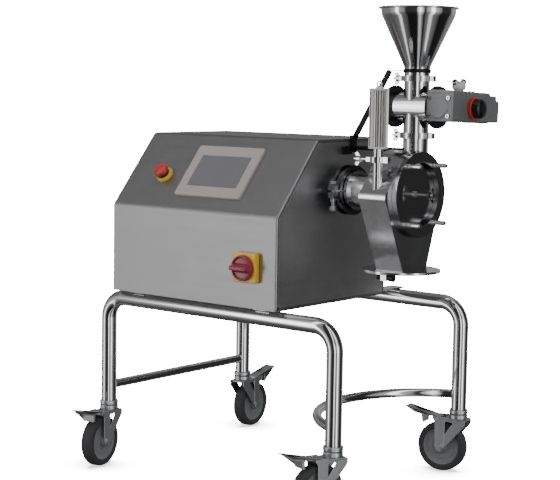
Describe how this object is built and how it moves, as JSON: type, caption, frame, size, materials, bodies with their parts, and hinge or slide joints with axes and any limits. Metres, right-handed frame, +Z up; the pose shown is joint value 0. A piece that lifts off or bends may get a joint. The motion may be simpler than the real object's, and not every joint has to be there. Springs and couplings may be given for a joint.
{
  "type": "hammer mill",
  "caption": "Stainless laboratory hammer mill on a wheeled tube stand: hopper and rotary feeder over a grinding drum, sloped control cabinet beside it.",
  "frame": {"origin": "on the floor under the middle of the whole machine's box", "axes": "+Z up, +X from the cabinet to the mill, -Y towards the operator"},
  "size_m": [0.9279, 0.7856, 1.1332],
  "materials": {
    "tube_steel": "polished stainless tube",
    "sheet_steel": "brushed stainless sheet",
    "grey_paint": "satin grey enamel",
    "plated_steel": "bright zinc plate",
    "wheel_rubber": "moulded grey-black rubber on a polymer hub",
    "polished_steel": "polished stainless steel",
    "bright_hardware": "polished stainless castings",
    "machined_steel": "turned steel",
    "dark_steel": "black oxide and black enamel",
    "black_plastic": "moulded polyamide",
    "inlet_plastic": "red collar and black cap",
    "light_plastic": "moulded light grey polyamide",
    "filter_media": "pleated polyester media",
    "panel_frame": "moulded grey frame",
    "screen_glass": "dark display glass",
    "yellow_plastic": "moulded yellow",
    "red_plastic": "moulded red",
    "knob_plastic": "moulded dark red"
  },
  "bodies": {
    "machine": {"front_frame_tube": "tube_steel", "rear_frame_tube": "tube_steel", "left_cross_tube": "tube_steel", "right_bow_tube": "tube_steel", "cabinet_wrap": "sheet_steel", "cabinet_sides": "sheet_steel", "cabinet_base": "sheet_steel", "cabinet_back": "sheet_steel", "support_bars": "grey_paint", "motor_bracket": "grey_paint", "drive_motor": "grey_paint", "gearmotor": "grey_paint", "caster_stems": "plated_steel", "mill_chamber": "polished_steel", "outlet_flange": "polished_steel", "feeder_body": "polished_steel", "hopper": "polished_steel", "pipe_clamps": "bright_hardware", "spindle_housing": "machined_steel", "spindle_bearings": "machined_steel", "mill_screen": "machined_steel", "neck_clamp": "dark_steel", "feeder_end_flanges": "dark_steel", "hopper_brace": "dark_steel", "mains_gland": "black_plastic", "power_inlet": "inlet_plastic", "cable_outlets": "light_plastic", "filter_cartridge": "filter_media", "touch_panel": "panel_frame", "touch_screen": "screen_glass", "estop_collar": "yellow_plastic", "isolator_plate": "yellow_plastic"},
    "caster_fl_swivel_body": {"caster_fl_fork": "plated_steel"},
    "caster_fl_roll_body": {"caster_fl_wheel": "wheel_rubber"},
    "caster_fl_brake_body": {"caster_fl_pedal": "plated_steel"},
    "caster_fr_swivel_body": {"caster_fr_fork": "plated_steel"},
    "caster_fr_roll_body": {"caster_fr_wheel": "wheel_rubber"},
    "caster_fr_brake_body": {"caster_fr_pedal": "plated_steel"},
    "caster_bl_swivel_body": {"caster_bl_fork": "plated_steel"},
    "caster_bl_roll_body": {"caster_bl_wheel": "wheel_rubber"},
    "caster_bl_brake_body": {"caster_bl_pedal": "plated_steel"},
    "caster_br_swivel_body": {"caster_br_fork": "plated_steel"},
    "caster_br_roll_body": {"caster_br_wheel": "wheel_rubber"},
    "caster_br_brake_body": {"caster_br_pedal": "plated_steel"},
    "rotor_body": {"drive_shaft": "machined_steel", "shaft_coupling": "machined_steel", "rotor": "machined_steel", "hammers": "machined_steel"},
    "feeder_rotor_body": {"feeder_rotor": "machined_steel"},
    "door_body": {"front_cover": "polished_steel", "inner_lid": "polished_steel", "cover_nuts": "bright_hardware"},
    "lid_nut_body": {"lid_wing_nut": "bright_hardware"},
    "neck_screw_body": {"neck_clamp_screw": "bright_hardware"},
    "upper_nut_body": {"upper_wing_nut": "bright_hardware"},
    "lower_nut_body": {"lower_wing_nut": "bright_hardware"},
    "filter_nut_body": {"filter_wing_nut": "bright_hardware"},
    "outlet_pin_body": {"outlet_pin": "dark_steel"},
    "estop_body": {"estop_button": "red_plastic"},
    "isolator_body": {"isolator_knob": "knob_plastic"}
  },
  "joints": [
    {"name": "caster_fl_swivel", "type": "hinge", "parent": "machine", "child": "caster_fl_swivel_body", "pos_m": [-0.432, -0.257, 0.145], "axis": [0, 0, 1], "continuous": true},
    {"name": "caster_fl_roll", "type": "hinge", "parent": "caster_fl_swivel_body", "child": "caster_fl_roll_body", "pos_m": [-0.42402, -0.2962, 0.0625], "axis": [0.9799, 0.1994, 0], "continuous": true},
    {"name": "caster_fl_brake", "type": "hinge", "parent": "caster_fl_swivel_body", "child": "caster_fl_brake_body", "pos_m": [-0.42203, -0.306, 0.133], "axis": [0.9799, 0.1994, 0], "range_deg": [0, 12]},
    {"name": "caster_fr_swivel", "type": "hinge", "parent": "machine", "child": "caster_fr_swivel_body", "pos_m": [0.276, -0.257, 0.145], "axis": [0, 0, 1], "continuous": true},
    {"name": "caster_fr_roll", "type": "hinge", "parent": "caster_fr_swivel_body", "child": "caster_fr_roll_body", "pos_m": [0.26331, -0.29493, 0.0625], "axis": [0.9483, -0.3173, 0], "continuous": true},
    {"name": "caster_fr_brake", "type": "hinge", "parent": "caster_fr_swivel_body", "child": "caster_fr_brake_body", "pos_m": [0.26014, -0.30442, 0.133], "axis": [0.9483, -0.3173, 0], "range_deg": [0, 12]},
    {"name": "caster_bl_swivel", "type": "hinge", "parent": "machine", "child": "caster_bl_swivel_body", "pos_m": [-0.432, 0.257, 0.145], "axis": [0, 0, 1], "continuous": true},
    {"name": "caster_bl_roll", "type": "hinge", "parent": "caster_bl_swivel_body", "child": "caster_bl_roll_body", "pos_m": [-0.43521, 0.29687, 0.0625], "axis": [-0.9968, -0.0802, 0], "continuous": true},
    {"name": "caster_bl_brake", "type": "hinge", "parent": "caster_bl_swivel_body", "child": "caster_bl_brake_body", "pos_m": [-0.43601, 0.30684, 0.133], "axis": [-0.9968, -0.0802, 0], "range_deg": [0, 12]},
    {"name": "caster_br_swivel", "type": "hinge", "parent": "machine", "child": "caster_br_swivel_body", "pos_m": [0.276, 0.257, 0.145], "axis": [0, 0, 1], "continuous": true},
    {"name": "caster_br_roll", "type": "hinge", "parent": "caster_br_swivel_body", "child": "caster_br_roll_body", "pos_m": [0.23671, 0.24951, 0.0625], "axis": [0.1874, -0.9823, 0], "continuous": true},
    {"name": "caster_br_brake", "type": "hinge", "parent": "caster_br_swivel_body", "child": "caster_br_brake_body", "pos_m": [0.22689, 0.24763, 0.133], "axis": [0.1874, -0.9823, 0], "range_deg": [0, 12]},
    {"name": "rotor_spin", "type": "hinge", "parent": "machine", "child": "rotor_body", "pos_m": [0.311, -0.057, 0.7122], "axis": [1, 0, 0], "continuous": true},
    {"name": "feeder_spin", "type": "hinge", "parent": "machine", "child": "feeder_rotor_body", "pos_m": [0.311, -0.014, 0.9082], "axis": [1, 0, 0], "continuous": true},
    {"name": "door_pull", "type": "slide", "parent": "machine", "child": "door_body", "axis": [1, 0, 0], "range_m": [0, 0.08]},
    {"name": "lid_nut_spin", "type": "hinge", "parent": "door_body", "child": "lid_nut_body", "pos_m": [0.38, -0.057, 0.7122], "axis": [1, 0, 0], "continuous": true},
    {"name": "neck_screw_spin", "type": "hinge", "parent": "machine", "child": "neck_screw_body", "pos_m": [0.162, -0.124, 0.7122], "axis": [0, 0, 1], "continuous": true},
    {"name": "upper_nut_spin", "type": "hinge", "parent": "machine", "child": "upper_nut_body", "pos_m": [0.2645, -0.014, 0.9722], "axis": [1, 0, 0], "continuous": true},
    {"name": "lower_nut_spin", "type": "hinge", "parent": "machine", "child": "lower_nut_body", "pos_m": [0.2645, -0.014, 0.8432], "axis": [1, 0, 0], "continuous": true},
    {"name": "filter_nut_spin", "type": "hinge", "parent": "machine", "child": "filter_nut_body", "pos_m": [0.2645, -0.16, 0.7922], "axis": [1, 0, 0], "continuous": true},
    {"name": "outlet_pin_pull", "type": "slide", "parent": "machine", "child": "outlet_pin_body", "axis": [1, 0, 0], "range_m": [0, 0.006]},
    {"name": "estop_press", "type": "slide", "parent": "machine", "child": "estop_body", "axis": [0, 0.769, -0.6393], "range_m": [0, 0.004], "stiffness_N_per_m": 2000, "springref_m": -0.002},
    {"name": "isolator_turn", "type": "hinge", "parent": "machine", "child": "isolator_body", "pos_m": [0.05, -0.306, 0.5402], "axis": [0, -1, 0], "range_deg": [0, 90]}
  ]
}
